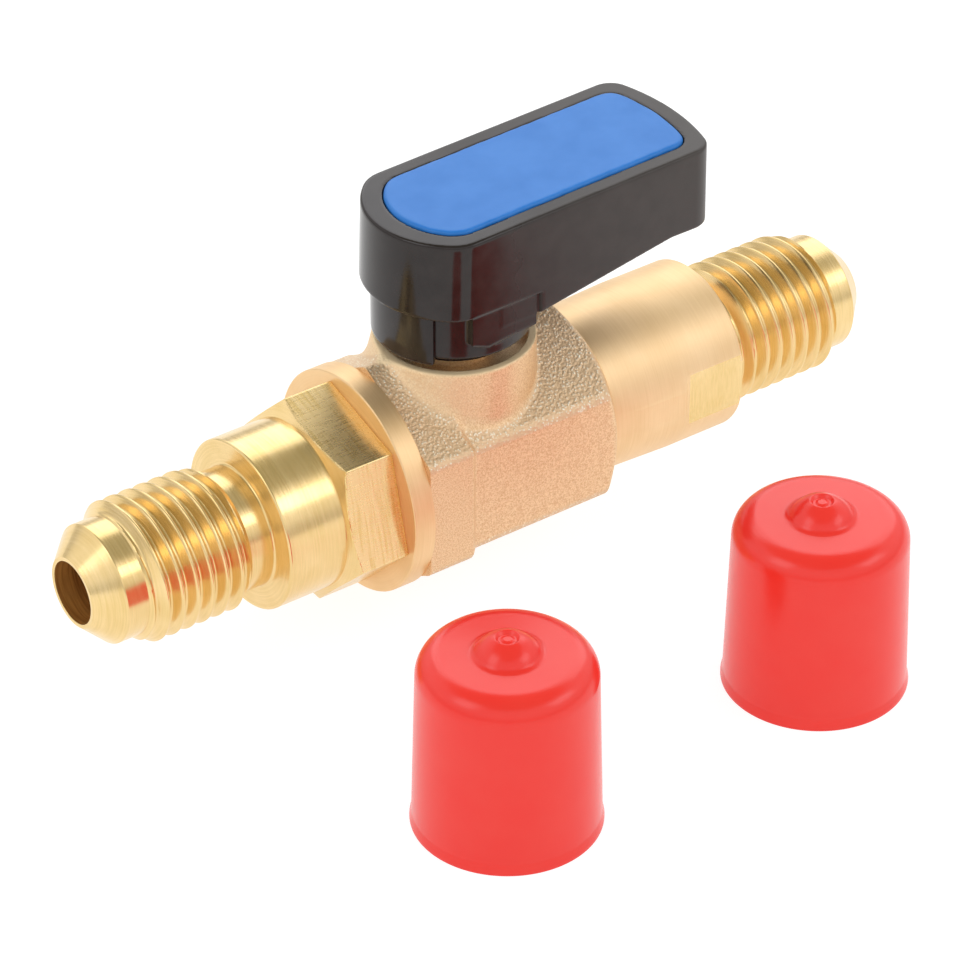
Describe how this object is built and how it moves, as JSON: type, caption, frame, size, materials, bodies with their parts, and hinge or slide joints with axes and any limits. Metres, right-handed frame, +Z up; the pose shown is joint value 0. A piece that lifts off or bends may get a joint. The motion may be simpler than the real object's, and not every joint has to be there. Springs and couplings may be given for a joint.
{
  "type": "ball valve",
  "caption": "Straight brass ball valve adapter with flare ends, a quarter-turn lever with a coloured insert, and dust caps shown taken off.",
  "frame": {"origin": "centre of the ball, where the flow axis crosses the stem's axis", "axes": "+X along the flow from the screwed adapter's end to the barrel's end, +Z up along the stem towards the lever, +Y away from the dust caps"},
  "size_m": [0.0704, 0.0449, 0.031],
  "materials": {
    "cast_brass": "sand cast faces, turned barrel and collar",
    "turned_brass": "bright turned, with fine lathe lines",
    "stem_brass": "turned",
    "plated_ball": "polished plating",
    "white_seat": "smooth, waxy",
    "seal_rubber": "moulded",
    "bright_steel": "zinc plated",
    "black_lever": "moulded, satin sides and fine grain on top",
    "blue_insert": "moulded, satin",
    "red_cap": "dipped soft vinyl, soft sheen"
  },
  "bodies": {
    "valve": {"valve_body": "cast_brass", "end_adapter": "turned_brass", "body_seal": "seal_rubber", "near_seat": "white_seat", "far_seat": "white_seat", "thrust_washer": "white_seat", "stop_pin": "bright_steel", "dust_cap_left": "red_cap", "dust_cap_right": "red_cap"},
    "turning_set": {"ball": "plated_ball", "stem": "stem_brass", "lower_stem_ring": "seal_rubber", "upper_stem_ring": "seal_rubber", "lever": "black_lever", "lever_insert": "blue_insert", "screw_washer": "bright_steel", "lever_screw": "bright_steel"}
  },
  "joints": [
    {"name": "lever_turn", "type": "hinge", "parent": "valve", "child": "turning_set", "pos_m": [0, 0, 0.0164], "axis": [0, 0, 1], "range_deg": [-90, 0]}
  ]
}
